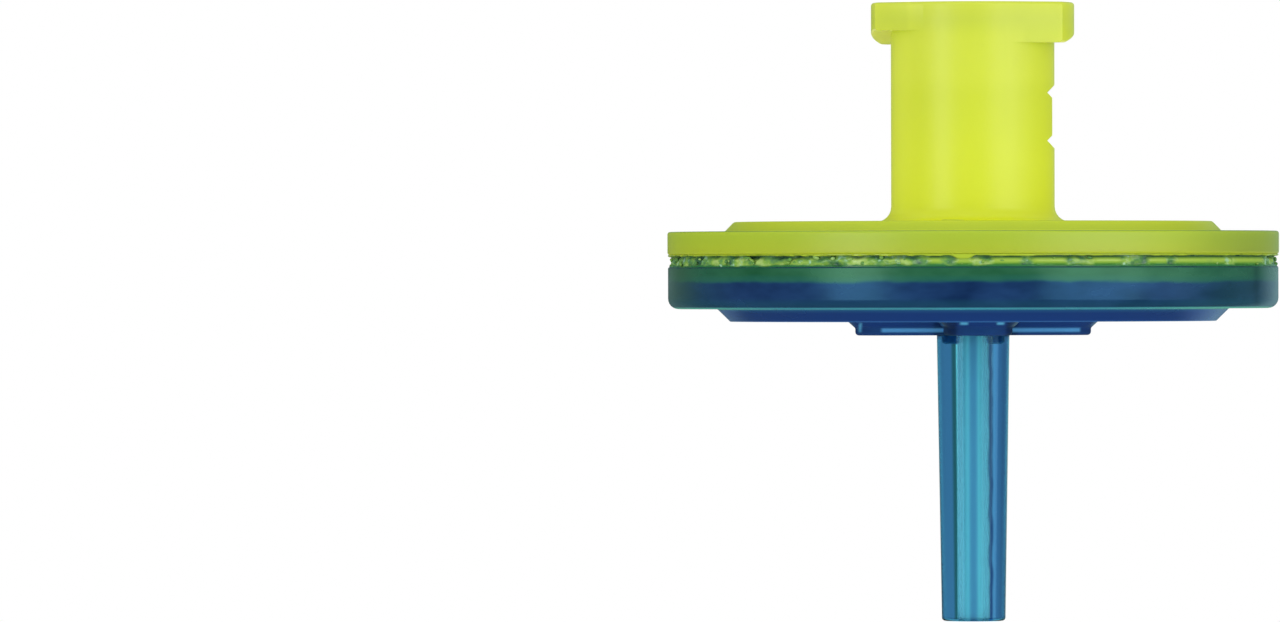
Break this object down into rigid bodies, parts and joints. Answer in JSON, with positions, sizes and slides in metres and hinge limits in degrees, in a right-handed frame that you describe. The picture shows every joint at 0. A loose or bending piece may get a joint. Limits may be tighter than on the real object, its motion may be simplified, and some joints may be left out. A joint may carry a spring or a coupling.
{
  "type": "syringe filter",
  "caption": "Disc syringe filter: female Luer lock inlet neck on a translucent shell, welded to a cup with a slim tapered outlet tube, membrane clamped between.",
  "frame": {"origin": "centre of the inlet mouth, in the plane of the female Luer's end face", "axes": "+Z out of the inlet mouth along the filter's axis, outlet tube towards -Z; +X through one of the two lugs"},
  "size_m": [0.0236, 0.0236, 0.0238],
  "materials": {
    "inlet_plastic": "milky translucent yellow-green polypropylene, satin as moulded",
    "outlet_plastic": "clear to translucent deep blue polypropylene, smooth as moulded",
    "weld_plastic": "solidified melt of the two housings, crumbly and glassy with pale glints",
    "membrane": "white porous membrane, matt"
  },
  "bodies": {
    "root": {"inlet_housing": "inlet_plastic", "outlet_housing": "outlet_plastic", "weld_bead": "weld_plastic", "filter_membrane": "membrane"}
  },
  "joints": []
}
